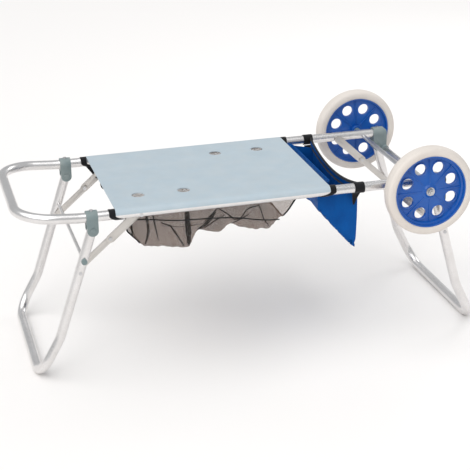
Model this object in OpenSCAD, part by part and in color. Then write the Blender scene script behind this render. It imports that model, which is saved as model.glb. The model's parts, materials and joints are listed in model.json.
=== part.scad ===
// Beach cart: a bent tube frame on two folding U legs, with a drop-over table,
// a storage net, a pouch and a pair of wheels. +X runs from the handle to the
// wheels, +Z is up, and the origin lies on the ground under the middle.

/* [Frame] */
// Length over everything, from the handle to the rear foot
overall_len = 1086; // [900:1:1320]
// Distance between the centre lines of the two side rails
rail_gap = 371; // [300:1:460]
// Height of the side rails' centre line over the ground
rail_h = 376; // [310:1:460]
// Outside diameter of the frame and leg tubes
tube_d = 22; // [18:0.5:26]
// Wall of the frame and leg tubes
tube_wall = 1.2; // [0.8:0.1:2]
// Distance from the handle bar back to the front leg pivots
handle_setback = 157; // [140:1:220]
// Length of the handle end that is bent upward
handle_reach = 134; // [110:1:140]
// Upward bend of the handle end
handle_rise = 4; // [2:0.5:12]
// Centre line radius of the handle's two corners
handle_bend = 80; // [40:1:95]

/* [Legs] */
// Drop of the front leg pivots under the rails' centre line
front_drop = 28; // [27:0.5:40]
// Lean of the front legs away from the vertical
front_lean = 18.8; // [10:0.1:24]
// Lean of the front legs below the knee
front_foot_lean = 30; // [26:0.1:40]
// Height of the front knee over the ground
front_knee_h = 98; // [85:1:140]
// Drop of the rear leg pivots under the rails' centre line
rear_drop = 32; // [27:0.5:40]
// Lean of the rear legs away from the vertical
rear_lean = 15; // [10:0.1:20]
// Lean of the rear legs below the knee
rear_foot_lean = 25.6; // [22:0.1:35]
// Height of the rear knee over the ground
rear_knee_h = 107; // [85:1:140]
// Centre line radius of the knees
knee_bend = 120; // [60:1:160]
// Centre line radius of the foot corners
foot_bend = 50; // [30:1:60]
// Diameter of the rod that ties the front legs together
rod_d = 8; // [6:0.5:10]
// Distance of that rod from the front leg pivots, along the leg
rod_dist = 72; // [60:1:80]

/* [Folding stays] */
// Distance from a leg pivot to the stay's rail rivet, along the rail
stay_rail_off = 108; // [90:1:130]
// Drop of the stay's rail rivet under the rails' centre line
stay_rail_drop = 4; // [2:0.5:6]
// Distance from a leg pivot to the stay's leg rivet, along the leg
stay_leg_dist = 101.5; // [88:0.5:130]
// Length of an upper link between its rivets
upper_len = 88; // [80:1:100]
// Width of the upper links
upper_w = 19; // [14:0.5:24]
// Sheet thickness of the upper links
upper_t = 1.5; // [1:0.1:2]
// Depth of the upper links' channel
upper_depth = 3.2; // [2.4:0.1:5]
// Width of the lower links
lower_w = 15; // [10:0.5:18]
// Thickness of the lower links
lower_t = 2; // [1.5:0.1:3]
// Diameter of the stay rivets
rivet_d = 5; // [4:0.5:6]

/* [Clips and brackets] */
// Length of a front clip along the rail
clip_len = 25; // [20:1:34]
// Wall of clips and brackets round the rail
clip_wall = 4; // [2.5:0.5:6]
// Thickness of the cheeks beside a leg
cheek_t = 3; // [2:0.5:5]
// Diameter of the leg pivot pins
pivot_d = 6; // [5:0.5:8]
// Diameter of the screws that hold clips and brackets on the rails
screw_d = 4; // [3:0.5:5]
// Length of a rear bracket past the leg pivot
bracket_reach = 21.5; // [18:0.5:30]
// Diameter of the rear cross tube
cross_d = 14; // [10:0.5:16]
// Offset of the rear cross tube past the leg pivot
cross_off = 16.5; // [16:0.5:20]

/* [Wheels] */
// Outside diameter of the tyres
tyre_d = 208; // [170:1:250]
// Width of the tyres
tyre_w = 36; // [28:1:44]
// Outside diameter of the hubs, under the tyres
hub_d = 169; // [140:1:180]
// Width of a hub's rim
rim_w = 30; // [24:1:36]
// Number of round holes in a hub
hub_holes = 8; // [6:1:10]
// Diameter of the round holes in a hub
hub_hole_d = 28; // [18:1:30]
// Radius of the circle that the holes lie on
hub_hole_r = 56; // [52:1:60]
// Angle at which the wheels stand, as turned from a hole on the wheel's front
hub_turn = 21; // [0:0.5:45]
// Diameter of the axle
axle_d = 10; // [8:0.5:12]
// Drop of the axle under the rails' centre line
axle_drop = 4; // [0:0.5:4]
// Distance of the axle in front of the rear leg pivots
axle_off = 38.5; // [34:0.5:60]
// Distance of a wheel's mid plane outside the rail's centre line
wheel_off = 54.5; // [44:0.5:75]

/* [Table] */
// Length of the table
table_len = 489; // [400:1:520]
// Gap from the front leg pivots to the table
table_gap = 51.5; // [40:0.5:80]
// Thickness of the table sheet
table_t = 2; // [1.5:0.1:4]
// Angle that the sheet wraps down over each rail
table_wrap = 84; // [60:1:100]
// Diameter of the holes in the table
hole_d = 29; // [20:0.5:36]
// Distance between the two holes of a pair
hole_pitch = 104; // [80:1:130]
// Offset of the pairs to either side of the middle
hole_y = 115; // [90:1:125]
// Distance from the table's handle end to its nearest hole
hole_front = 66; // [40:1:90]
// Distance from the table's wheel end to its nearest hole
hole_rear = 82; // [40:1:100]

/* [Soft parts] */
// Gap between the stays' rivets and the sides of the net and the pouch
soft_gap = 3.7; // [3:0.1:40]
// Thickness of the net and the pouch as solids
soft_wall = 2.5; // [2:0.1:4]
// Depth of the net under the rails' centre line
net_depth = 114; // [90:1:116]
// Depth of the pouch under the rails' centre line
pouch_depth = 143; // [100:1:160]
// Length of the pouch along the rails
pouch_len = 113; // [90:1:120]
// How far the pouch reaches under the table
pouch_under = 34; // [20:1:60]
// Gap between the net and the pouch
net_pouch_gap = 14; // [6:1:40]
// Distance from the table's handle end to the net
net_inset = 25.5; // [20:0.5:60]
// Thickness of the webbing straps
strap_t = 1.4; // [1:0.1:2]
// Width of the corner straps
strap_w = 14; // [10:0.5:20]

/* [Hidden] */
$fn = 64;

tube_r = tube_d / 2;
bore_r = tube_r - tube_wall;
rail_y = rail_gap / 2;
running = 0.05;   // radial clearance of a pin that turns in its hole
seat = 0.05;      // radial clearance of a piece that is fixed on another
clear = 0.3;      // gap between pieces that slide past each other
over = 1;         // how far a cutting solid reaches past what it cuts
lap = 1;          // how far a straight tube runs into a bend
bend_swell = 0.1; // how much thicker a bend is than the straight tube

// Main stations along the frame
handle_x = -overall_len / 2 + tube_r;
rise_x = handle_x + handle_reach * cos(handle_rise);
front_pivot = [handle_x + handle_setback, rail_h - front_drop];
rear_foot_x = overall_len / 2 - tube_r;
rear_knee_x = rear_foot_x - (rear_knee_h - tube_r) * tan(rear_foot_lean);
rear_pivot_z = rail_h - rear_drop;
rear_pivot = [rear_knee_x - (rear_pivot_z - rear_knee_h) * tan(rear_lean), rear_pivot_z];
bracket_end = rear_pivot[0] + bracket_reach;
bracket_cap = 13; // plastic between a rail's end and the bracket's end
rail_end = bracket_end - bracket_cap;
rise_bend = 200;  // centre line radius of the handle's upward bend

// Legs, measured along their own tubes
front_thigh = (front_pivot[1] - front_knee_h) / cos(front_lean);
front_shin = (front_knee_h - tube_r) / cos(front_foot_lean);
rear_thigh = (rear_pivot[1] - rear_knee_h) / cos(rear_lean);
rear_shin = (rear_knee_h - tube_r) / cos(rear_foot_lean);

// Clips and brackets
slot_half = tube_r + 0.2;                // half of the gap between two cheeks
cheek_in = rail_y - slot_half - cheek_t; // inner face of the inner cheek
cheek_out = rail_y + slot_half + cheek_t;
head_t = 2;
collar_len = 10;
collar_wall = 2.2;
cross_drop = 7;

// Folding stays: rail rivet, leg rivet and middle joint as [x, z]
front_rail_rivet = [front_pivot[0] + stay_rail_off, rail_h - stay_rail_drop];
front_leg_rivet = front_pivot - stay_leg_dist * [sin(front_lean), cos(front_lean)];
rear_rail_rivet = [rear_pivot[0] - stay_rail_off, rail_h - stay_rail_drop];
rear_leg_rivet = rear_pivot + stay_leg_dist * [sin(rear_lean), -cos(rear_lean)];
stay_gap = 0.4;                          // gap between a tube and the upper link
upper_out = rail_y - tube_r - stay_gap;  // outer edge of the upper link's flanges
upper_in = upper_out - upper_depth;
lower_out = upper_in - clear;
lower_in = lower_out - lower_t;
rivet_head_d = rivet_d + 3;
rivet_head_t = 1.6;

// Axle and wheels
axle_x = rear_pivot[0] - axle_off;
axle_z = rail_h - axle_drop;
wheel_y = rail_y + wheel_off;
boss_in = rim_w / 2 - 1;                 // hub boss, inward of the mid plane
boss_out = rim_w / 2 - 5;                // hub boss, outward of the mid plane
shoulder_y = wheel_y + boss_out + 0.2;
stud_d = axle_d - 2;
washer_t = 1.6;
nut_h = 6.5;
nut_af = 13;

// Table and soft parts
table_x0 = front_pivot[0] + table_gap;
table_x1 = table_x0 + table_len;
table_under = rail_h + tube_r + 0.1;
soft_top = table_under - clear;
sleeve_r0 = tube_r + 0.15;
sleeve_r1 = sleeve_r0 + strap_t;
soft_half_w = lower_in - clear - rivet_head_t - soft_gap;
pouch_x0 = table_x1 - pouch_under;
pouch_x1 = pouch_x0 + pouch_len;
net_x0 = table_x0 + net_inset;
net_x1 = pouch_x0 - net_pouch_gap;
net_len = net_x1 - net_x0;

function dist(a, b) = norm(b - a);
function heading(a, b) = atan2(b[1] - a[1], b[0] - a[0]);

// ---- shared shapes ----

module on_side(s) {
    if (s > 0) children();
    else mirror([0, 1, 0]) children();
}

module both_sides() {
    for (s = [1, -1]) on_side(s) children();
}

// Puts a shape that is drawn in the XZ plane at a point [x, z]
module at(p) {
    translate([p[0], 0, p[1]]) children();
}

// Flat piece drawn in the XZ plane, between two values of y
module slab(y0, y1) {
    translate([0, y1, 0]) rotate([90, 0, 0]) linear_extrude(y1 - y0) children();
}

module pin(d, y0, y1) {
    translate([0, y0, 0]) rotate([-90, 0, 0]) cylinder(d = d, h = y1 - y0);
}

// Straight stretch of a tube path. Its ends run a little way into the bends,
// which are a hair thicker, so that the stretches join as one solid.
module rod(r, len, start = lap, end = lap) {
    translate([0, 0, -start]) cylinder(r = r, h = len + start + end);
}

module bent_rod(r, radius, angle) {
    rotate_extrude(angle = angle) translate([radius, 0]) circle(r = r + bend_swell);
}

module strip_2d(len, w) {
    circle(d = w);
    translate([0, -w / 2]) square([len, w]);
    translate([len, 0]) circle(d = w);
}

// Rivet with two flat heads through whatever lies between y0 and y1
module rivet(d, head_d, y0, y1, head) {
    pin(d, y0, y1);
    pin(head_d, y0 - head, y0);
    pin(head_d, y1, y1 + head);
}

// ---- frame ----

module rail_holes() {
    for (p = [front_rail_rivet, rear_rail_rivet])
        at(p) pin(rivet_d + 2 * seat, rail_y - tube_r - over, rail_y + tube_r + over);
    translate([axle_x, 0, axle_z])
        pin(axle_d + 2 * seat, rail_y - tube_r - over, rail_y + tube_r + over);
    for (x = [front_pivot[0], rear_pivot[0]])
        translate([x, rail_y, rail_h]) cylinder(d = screw_d + 2 * seat, h = tube_r + over);
}

module frame_path(r) {
    rise_cut = rise_bend * tan(handle_rise / 2);
    corner = handle_reach - handle_bend;
    both_sides() {
        translate([rise_x + rise_cut, rail_y, rail_h])
            rotate([0, 90, 0]) rod(r, rail_end - rise_x - rise_cut, end = 0);
        translate([rise_x + rise_cut, rail_y, rail_h + rise_bend]) rotate([90, 0, 0])
            rotate(-90 - handle_rise) bent_rod(r, rise_bend, handle_rise);
    }
    translate([rise_x, 0, rail_h]) rotate([0, handle_rise, 0]) {
        both_sides() {
            translate([-corner, rail_y, 0])
                rotate([0, 90, 0]) rod(r, corner - rise_cut);
            translate([-corner, rail_y - handle_bend, 0])
                rotate(90) bent_rod(r, handle_bend, 90);
        }
        translate([-handle_reach, handle_bend - rail_y, 0])
            rotate([-90, 0, 0]) rod(r, rail_gap - 2 * handle_bend);
    }
}

module frame_tube() color("gainsboro") difference() {
    frame_path(tube_r);
    frame_path(bore_r);
    both_sides() rail_holes();
}

// Two cheeks under a sleeve: the shape that clips and brackets share
module saddle(p, x0, x1) {
    intersection() {
        translate([x0, 0, 0]) rotate([90, 0, 90]) linear_extrude(x1 - x0) {
            translate([rail_y, rail_h]) circle(r = tube_r + clip_wall);
            translate([cheek_in, p[1] - clip_len])
                square([cheek_out - cheek_in, rail_h - p[1] + clip_len]);
        }
        slab(cheek_in - over, cheek_out + over) children();
    }
}

module saddle_cuts(p, x0, x1, bore_end) {
    translate([x0, rail_y, rail_h]) rotate([0, 90, 0])
        cylinder(r = tube_r + seat, h = bore_end - x0);
    translate([x0, rail_y - slot_half, p[1] - 2 * clip_len])
        cube([x1 - x0, 2 * slot_half, 2 * clip_len + tube_r + 2]);
    at(p) pin(pivot_d + 2 * seat, cheek_in - over, cheek_out + over);
    translate([p[0], rail_y, rail_h]) cylinder(d = screw_d + 2 * seat, h = tube_d);
}

module front_clip(s) color("slategray") on_side(s) {
    half = clip_len / 2;
    top = rail_h + tube_r + clip_wall;
    difference() {
        saddle(front_pivot, front_pivot[0] - half, front_pivot[0] + half) {
            translate(front_pivot) circle(r = half);
            translate([front_pivot[0] - half, front_pivot[1]])
                square([clip_len, top - front_pivot[1]]);
        }
        saddle_cuts(front_pivot, front_pivot[0] - half - over, front_pivot[0] + half + over,
            front_pivot[0] + half + over);
    }
}

module rear_bracket(s) color("slategray") on_side(s) {
    half = clip_len / 2;
    x0 = rear_pivot[0] - half;
    top = rail_h + tube_r + clip_wall;
    nose_r = 12;
    cross = rear_pivot + [cross_off, -cross_drop];
    difference() {
        union() {
            saddle(rear_pivot, x0, bracket_end + over) {
                translate(rear_pivot) circle(r = half);
                translate(cross) circle(r = cross_d / 2 + collar_wall + 1);
                translate([x0, rear_pivot[1]])
                    square([bracket_end - nose_r - x0, top - rear_pivot[1]]);
                translate([rear_pivot[0], rear_pivot[1] - cross_drop])
                    square([bracket_end - rear_pivot[0], top - nose_r - rear_pivot[1] + cross_drop]);
                translate([bracket_end - nose_r, top - nose_r]) circle(r = nose_r);
            }
            at(cross) pin(cross_d + 2 * collar_wall, cheek_in - collar_len, cheek_in + 1);
        }
        saddle_cuts(rear_pivot, x0 - over, bracket_end + 2 * over, rail_end + clear);
        at(cross) pin(cross_d + 2 * seat, cheek_in - collar_len - over, cheek_in);
    }
}

// Round-headed screws from above through each clip or bracket into the rail
module clip_screws() color("silver") both_sides() {
    head_z = rail_h + tube_r + clip_wall;
    for (x = [front_pivot[0], rear_pivot[0]]) {
        difference() {
            translate([x, rail_y, head_z - 1]) cylinder(d = 2 * screw_d, h = 2.6);
            translate([x - clip_len, rail_y, rail_h]) rotate([0, 90, 0])
                cylinder(r = tube_r + clip_wall + seat, h = 2 * clip_len);
        }
        translate([x, rail_y, rail_h + bore_r - 2])
            cylinder(d = screw_d, h = tube_wall + clip_wall + 3);
    }
}

module leg_pivot_pins() color("silver") both_sides() {
    for (p = [front_pivot, rear_pivot])
        at(p) rivet(pivot_d, pivot_d + 5, cheek_in, cheek_out, head_t);
}

// Stay rivets through the rails: the outer head sits on the round tube
module stay_rail_rivets() color("silver") both_sides() {
    for (p = [front_rail_rivet, rear_rail_rivet]) {
        at(p) pin(rivet_d, upper_in - clear, rail_y + tube_r - 1);
        at(p) pin(rivet_head_d, upper_in - clear - rivet_head_t, upper_in - clear);
        difference() {
            at(p) pin(rivet_head_d, rail_y + tube_r - 3, rail_y + tube_r + 1.2);
            translate([p[0] - rivet_head_d, rail_y, rail_h]) rotate([0, 90, 0])
                cylinder(r = tube_r + seat, h = 2 * rivet_head_d);
        }
    }
}

module rear_cross_tube() color("gainsboro") {
    at(rear_pivot + [cross_off, -cross_drop]) difference() {
        pin(cross_d, -cheek_in + seat, cheek_in - seat);
        pin(cross_d - 2 * tube_wall, -cheek_in - over, cheek_in + over);
    }
}

// ---- axle ----

module axle() color("darkgray") {
    stud_end = shoulder_y + washer_t + nut_h + 3;
    translate([axle_x, 0, axle_z]) {
        pin(axle_d, -shoulder_y, shoulder_y);
        pin(stud_d, -stud_end, stud_end);
    }
}

module axle_spacer(s) color("slategray") on_side(s) {
    translate([axle_x, 0, axle_z]) difference() {
        pin(axle_d + 6, rail_y + tube_r + seat, wheel_y - boss_in - 0.2);
        pin(axle_d + 2 * seat, rail_y, wheel_y);
    }
}

module axle_washers() color("silver") both_sides() {
    translate([axle_x, 0, axle_z]) difference() {
        pin(stud_d + 12, shoulder_y, shoulder_y + washer_t);
        pin(stud_d + 2 * seat, shoulder_y - over, shoulder_y + washer_t + over);
    }
}

module axle_nuts() color("silver") both_sides() {
    translate([axle_x, shoulder_y + washer_t, axle_z]) rotate([-90, 0, 0]) difference() {
        cylinder(d = nut_af / cos(30), h = nut_h, $fn = 6);
        translate([0, 0, -over]) cylinder(d = stud_d + 2 * seat, h = nut_h + 2 * over);
    }
}

// ---- wheels ----

module hub(s) color("royalblue") on_side(s) {
    rim_t = 4;
    web_t = 6;
    rib_t = 3;
    rib_h = 16;
    boss_d = axle_d + 16;
    translate([axle_x, wheel_y, axle_z]) rotate([-90, 0, 0]) difference() {
        union() {
            difference() {
                translate([0, 0, -rim_w / 2]) cylinder(d = hub_d, h = rim_w);
                translate([0, 0, web_t / 2]) cylinder(d = hub_d - 2 * rim_t, h = rim_w);
                translate([0, 0, -rim_w - web_t / 2]) cylinder(d = hub_d - 2 * rim_t, h = rim_w);
            }
            for (i = [0 : hub_holes - 1])
                rotate(hub_turn + (i + 0.5) * 360 / hub_holes)
                    translate([0, -rib_t / 2, -rib_h / 2]) cube([hub_d / 2 - rim_t / 2, rib_t, rib_h]);
            translate([0, 0, -boss_in]) cylinder(d = boss_d, h = boss_in + boss_out);
        }
        for (i = [0 : hub_holes - 1])
            rotate(hub_turn + i * 360 / hub_holes) translate([hub_hole_r, 0, -rim_w])
                cylinder(d = hub_hole_d, h = 2 * rim_w);
        translate([0, 0, -rim_w]) cylinder(d = axle_d + 2 * running, h = 2 * rim_w);
    }
}

module tyre(s) color("antiquewhite") on_side(s) {
    shoulder = 8;
    flat = tyre_w / 2 - shoulder;
    r0 = hub_d / 2;
    r1 = tyre_d / 2;
    translate([axle_x, wheel_y, axle_z]) rotate([-90, 0, 0]) rotate_extrude() {
        translate([r0, -tyre_w / 2]) square([r1 - shoulder - r0, tyre_w]);
        translate([r0, -flat]) square([r1 - r0, 2 * flat]);
        for (k = [1, -1]) translate([r1 - shoulder, k * flat]) circle(r = shoulder);
    }
}

// ---- table ----

module tabletop() color("lightsteelblue") {
    wrap_r0 = tube_r + 0.1;
    wrap_r1 = wrap_r0 + table_t;
    reach = 2 * wrap_r1;
    hole_x = [table_x0 + hole_front, table_x1 - hole_rear - hole_pitch];
    difference() {
        translate([table_x0, 0, 0]) rotate([90, 0, 90]) linear_extrude(table_len) {
            translate([-rail_y, table_under]) square([rail_gap, table_t]);
            for (s = [1, -1]) translate([s * rail_y, rail_h]) intersection() {
                difference() {
                    circle(r = wrap_r1);
                    circle(r = wrap_r0);
                }
                polygon([[0, 0], [0, reach], [s * reach, reach],
                    s * reach * [sin(table_wrap), 0] + [0, reach * cos(table_wrap)]]);
            }
        }
        for (i = [0, 1], k = [0, 1])
            translate([hole_x[i] + k * hole_pitch, (i == 0 ? -1 : 1) * hole_y, rail_h])
                cylinder(d = hole_d, h = tube_d + table_t);
    }
}

// ---- soft parts ----

// Open-topped bag: an XZ outline, walls all round, open above
module open_bag() {
    difference() {
        slab(-soft_half_w, soft_half_w) children();
        slab(soft_wall - soft_half_w, soft_half_w - soft_wall) union() {
            offset(delta = -soft_wall) children();
            translate([0, 2 * soft_wall]) offset(delta = -soft_wall) children();
        }
    }
}

module storage_net() color("dimgray") {
    deep = rail_h - net_depth;
    open_bag() polygon([[net_x0, soft_top], [net_x0 + 2, deep + 67],
        [net_x0 + 0.09 * net_len, deep + 21], [net_x0 + 0.34 * net_len, deep],
        [net_x0 + 0.58 * net_len, deep + 40], [net_x0 + 0.74 * net_len, deep + 26],
        [net_x0 + 0.8 * net_len, deep + 26], [net_x0 + 0.9 * net_len, deep + 50],
        [net_x1, deep + 84], [net_x1, soft_top]]);
}

module rear_pouch() color("steelblue") {
    tip = rail_h - pouch_depth;
    open_bag() polygon([[pouch_x0, soft_top], [pouch_x0 + 6, rail_h - 43],
        [pouch_x1 - 14, tip], [pouch_x1 - 8, tip + 4], [pouch_x1, rail_h - 30],
        [pouch_x1, soft_top - 6]]);
}

// Webbing sleeve round a rail
module sleeve(x0, x1) {
    translate([x0, rail_y, rail_h]) rotate([0, 90, 0]) difference() {
        cylinder(r = sleeve_r1, h = x1 - x0);
        translate([0, 0, -over]) cylinder(r = sleeve_r0, h = x1 - x0 + 2 * over);
    }
}

module pouch_band() color("black") {
    band_t = 3;
    band_h = 13;
    band_lift = 1.5; // keeps the folded rear stays clear of the band
    sleeve_len = 20;
    bite = 0.2; // how far the band runs into its sleeves
    x0 = pouch_x1 + clear;
    both_sides() sleeve(x0 - sleeve_len, x0 + band_t);
    translate([x0, sleeve_r1 - bite - rail_y, rail_h + band_lift - band_h / 2])
        cube([band_t, rail_gap - 2 * (sleeve_r1 - bite), band_h]);
}

module front_strap(s) color("black") on_side(s)
    sleeve(table_x0 - clear - strap_w, table_x0 - clear);

module rear_strap(s) color("black") on_side(s)
    sleeve(table_x1 + clear, table_x1 + clear + strap_w);

// ---- legs ----

// One U leg with its pivots at the origin, leaning towards -X
module leg_path(r, lean, foot_lean, thigh, shin) {
    knee = foot_lean - lean;
    cut = knee_bend * tan(knee / 2);
    corner = shin - foot_bend;
    rotate([0, lean, 0]) {
        both_sides() translate([0, rail_y, 0]) {
            intersection() {
                rod(r, tube_d);
                pin(2 * r, -tube_d, tube_d);
            }
            translate([0, 0, cut - thigh]) rod(r, thigh - cut, end = 0);
            translate([-knee_bend, 0, cut - thigh]) rotate([90, 0, 0])
                rotate(-knee) bent_rod(r, knee_bend, knee);
        }
        translate([0, 0, -thigh]) rotate([0, knee, 0]) {
            both_sides() {
                translate([0, rail_y, -corner]) rod(r, corner - cut);
                translate([0, rail_y - foot_bend, -corner]) rotate([90, 0, 90])
                    rotate(-90) bent_rod(r, foot_bend, 90);
            }
            translate([0, foot_bend - rail_y, -shin]) rotate([-90, 0, 0])
                rod(r, rail_gap - 2 * foot_bend);
        }
    }
}

module u_leg(lean, foot_lean, thigh, shin) difference() {
    leg_path(tube_r, lean, foot_lean, thigh, shin);
    leg_path(bore_r, lean, foot_lean, thigh, shin);
}

module leg_holes(rivet_at) {
    both_sides() {
        pin(pivot_d + 2 * running, rail_y - tube_d, rail_y + tube_d);
        at(rivet_at) pin(rivet_d + 2 * seat, rail_y - tube_d, rail_y + tube_d);
    }
}

module front_leg_tube() color("gainsboro") at(front_pivot) difference() {
    u_leg(front_lean, front_foot_lean, front_thigh, front_shin);
    leg_holes(front_leg_rivet - front_pivot);
    rotate([0, front_lean, 0]) translate([0, 0, -rod_dist])
        pin(rod_d + 2 * seat, -rail_gap, rail_gap);
}

module rear_leg_tube() color("gainsboro") at(rear_pivot) difference() {
    mirror([1, 0, 0]) u_leg(rear_lean, rear_foot_lean, rear_thigh, rear_shin);
    leg_holes(rear_leg_rivet - rear_pivot);
}

module front_cross_rod() color("silver")
    at(front_pivot) rotate([0, front_lean, 0]) translate([0, 0, -rod_dist])
        pin(rod_d, -rail_y - tube_r - 5, rail_y + tube_r + 5);

module cross_rod_caps() color("slategray") both_sides()
    at(front_pivot) rotate([0, front_lean, 0]) translate([0, 0, -rod_dist]) difference() {
        pin(rod_d + 5, rail_y + tube_r + seat, rail_y + tube_r + 7);
        pin(rod_d + 2 * seat, rail_y, rail_y + tube_r + 5 + seat);
    }

// Rivet, collar and outer head that hold a lower link on a leg
module leg_rivets(p, lean) both_sides() {
    at(p) pin(rivet_d, lower_in - clear, rail_y + tube_r - 1);
    at(p) pin(rivet_head_d, lower_in - clear - rivet_head_t, lower_in - clear);
    difference() {
        at(p) {
            pin(rivet_head_d, lower_out + clear, rail_y - tube_r + 2);
            pin(rivet_head_d, rail_y + tube_r - 3, rail_y + tube_r + 1.2);
        }
        at(p) translate([0, rail_y, 0]) rotate([0, lean, 0])
            cylinder(r = tube_r + seat, h = 4 * rivet_head_d, center = true);
    }
}

module front_leg_rivets() color("silver") leg_rivets(front_leg_rivet, front_lean);

module rear_leg_rivets() color("silver") leg_rivets(rear_leg_rivet, -rear_lean);

// ---- folding stays ----

// Channel link from the rail rivet towards the leg rivet
module stay_upper(s, a, b) color("lightgray") on_side(s)
    at(a) rotate([0, -heading(a, b), 0]) difference() {
        union() {
            slab(upper_in, upper_in + upper_t) strip_2d(upper_len, upper_w);
            for (k = [1, -1]) slab(upper_in, upper_out)
                translate([0, k * (upper_w - upper_t) / 2 - upper_t / 2]) square([upper_len, upper_t]);
        }
        pin(rivet_d + 2 * running, upper_in - over, upper_out);
        translate([upper_len, 0, 0]) pin(rivet_d + 2 * seat, upper_in - over, upper_out);
    }

// Flat link from the middle joint to the leg rivet
module stay_lower(s, a, b) color("lightgray") on_side(s)
    at(a) rotate([0, -heading(a, b), 0]) translate([upper_len, 0, 0]) {
        len = dist(a, b) - upper_len;
        slab(lower_in, lower_out) difference() {
            strip_2d(len, lower_w);
            circle(d = rivet_d + 2 * seat);
            translate([len, 0]) circle(d = rivet_d + 2 * running);
        }
    }

// Middle joint: a rivet in the upper link and a cap of its own in the lower
// link, because the two links only meet exactly when open and when folded
module mid_rivets(a, b) color("silver") both_sides()
    at(a) rotate([0, -heading(a, b), 0]) translate([upper_len, 0, 0]) {
        pin(rivet_d, upper_in, upper_in + upper_t);
        pin(rivet_head_d, upper_in + upper_t, upper_out);
    }

module stay_caps(a, b) color("silver") both_sides()
    at(a) rotate([0, -heading(a, b), 0]) translate([upper_len, 0, 0]) {
        pin(rivet_d, lower_in, lower_out);
        pin(rivet_head_d, lower_in - rivet_head_t, lower_in);
    }

module front_stay_upper(s) stay_upper(s, front_rail_rivet, front_leg_rivet);
module front_stay_lower(s) stay_lower(s, front_rail_rivet, front_leg_rivet);
module front_stay_mid_rivets() mid_rivets(front_rail_rivet, front_leg_rivet);
module front_stay_caps() stay_caps(front_rail_rivet, front_leg_rivet);
module rear_stay_upper(s) stay_upper(s, rear_rail_rivet, rear_leg_rivet);
module rear_stay_lower(s) stay_lower(s, rear_rail_rivet, rear_leg_rivet);
module rear_stay_mid_rivets() mid_rivets(rear_rail_rivet, rear_leg_rivet);
module rear_stay_caps() stay_caps(rear_rail_rivet, rear_leg_rivet);

frame_tube();
front_clip(1);  // front_clip_left
front_clip(-1);  // front_clip_right
rear_bracket(1);  // rear_bracket_left
rear_bracket(-1);  // rear_bracket_right
clip_screws();
leg_pivot_pins();
stay_rail_rivets();
rear_cross_tube();
axle();
axle_spacer(1);  // axle_spacer_left
axle_spacer(-1);  // axle_spacer_right
axle_washers();
axle_nuts();
tabletop();
storage_net();
rear_pouch();
pouch_band();
front_strap(1);  // front_strap_left
front_strap(-1);  // front_strap_right
rear_strap(1);  // rear_strap_left
rear_strap(-1);  // rear_strap_right
front_leg_tube();
front_cross_rod();
cross_rod_caps();
front_leg_rivets();
rear_leg_tube();
rear_leg_rivets();
front_stay_upper(1);  // front_stay_upper_left
front_stay_upper(-1);  // front_stay_upper_right
front_stay_mid_rivets();
front_stay_lower(1);  // front_stay_lower_left
front_stay_lower(-1);  // front_stay_lower_right
front_stay_caps();
rear_stay_upper(1);  // rear_stay_upper_left
rear_stay_upper(-1);  // rear_stay_upper_right
rear_stay_mid_rivets();
rear_stay_lower(1);  // rear_stay_lower_left
rear_stay_lower(-1);  // rear_stay_lower_right
rear_stay_caps();
hub(1);  // hub_left
tyre(1);  // tyre_left
hub(-1);  // hub_right
tyre(-1);  // tyre_right
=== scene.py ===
import json
import math

import bmesh
import bpy
from mathutils import Matrix, Vector, noise
from mathutils.bvhtree import BVHTree

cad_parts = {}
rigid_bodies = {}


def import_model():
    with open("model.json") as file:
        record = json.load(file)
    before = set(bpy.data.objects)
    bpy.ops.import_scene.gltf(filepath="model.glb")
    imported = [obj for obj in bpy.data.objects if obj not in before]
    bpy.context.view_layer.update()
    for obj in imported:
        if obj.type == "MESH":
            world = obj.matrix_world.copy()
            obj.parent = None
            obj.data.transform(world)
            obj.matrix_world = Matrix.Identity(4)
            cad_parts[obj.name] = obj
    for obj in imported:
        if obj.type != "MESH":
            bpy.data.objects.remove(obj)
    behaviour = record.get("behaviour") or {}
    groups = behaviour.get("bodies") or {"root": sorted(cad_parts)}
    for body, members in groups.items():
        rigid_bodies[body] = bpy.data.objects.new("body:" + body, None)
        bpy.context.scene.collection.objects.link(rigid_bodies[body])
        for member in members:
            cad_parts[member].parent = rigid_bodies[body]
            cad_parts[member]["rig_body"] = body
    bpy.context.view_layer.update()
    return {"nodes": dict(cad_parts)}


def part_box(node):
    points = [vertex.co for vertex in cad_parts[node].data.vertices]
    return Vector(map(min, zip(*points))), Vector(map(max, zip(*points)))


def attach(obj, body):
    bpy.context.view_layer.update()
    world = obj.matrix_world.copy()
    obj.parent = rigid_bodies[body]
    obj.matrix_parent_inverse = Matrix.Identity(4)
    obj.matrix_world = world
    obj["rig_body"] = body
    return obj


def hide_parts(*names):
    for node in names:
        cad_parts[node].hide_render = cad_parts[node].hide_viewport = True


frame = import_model()
cadNodes = frame["nodes"]
nodeBody = {o.name: o["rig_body"] for o in cadNodes.values()}
print("frame loaded")


def clearSelection():
    if bpy.context.object and bpy.context.object.mode != "OBJECT":
        bpy.ops.object.mode_set(mode="OBJECT")
    bpy.ops.object.select_all(action="DESELECT")


def makeActive(piece):
    clearSelection()
    piece.select_set(True)
    bpy.context.view_layer.objects.active = piece


def pickFaces(piece, test):
    # piece is in edit mode; selects the faces that pass the test
    mesh = bmesh.from_edit_mesh(piece.data)
    for part in (mesh.verts, mesh.edges, mesh.faces):
        for item in part:
            item.select = False
    for face in mesh.faces:
        if test(face):
            face.select_set(True)
    mesh.select_flush_mode()
    bmesh.update_edit_mesh(piece.data)


def useModifier(piece, kind, **values):
    makeActive(piece)
    mod = piece.modifiers.new(kind.title(), kind)
    for key, value in values.items():
        setattr(mod, key, value)
    bpy.ops.object.modifier_apply(modifier=mod.name)


def smooth(piece, angle=35):
    makeActive(piece)
    bpy.ops.object.shade_smooth_by_angle(angle=math.radians(angle))


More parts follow.
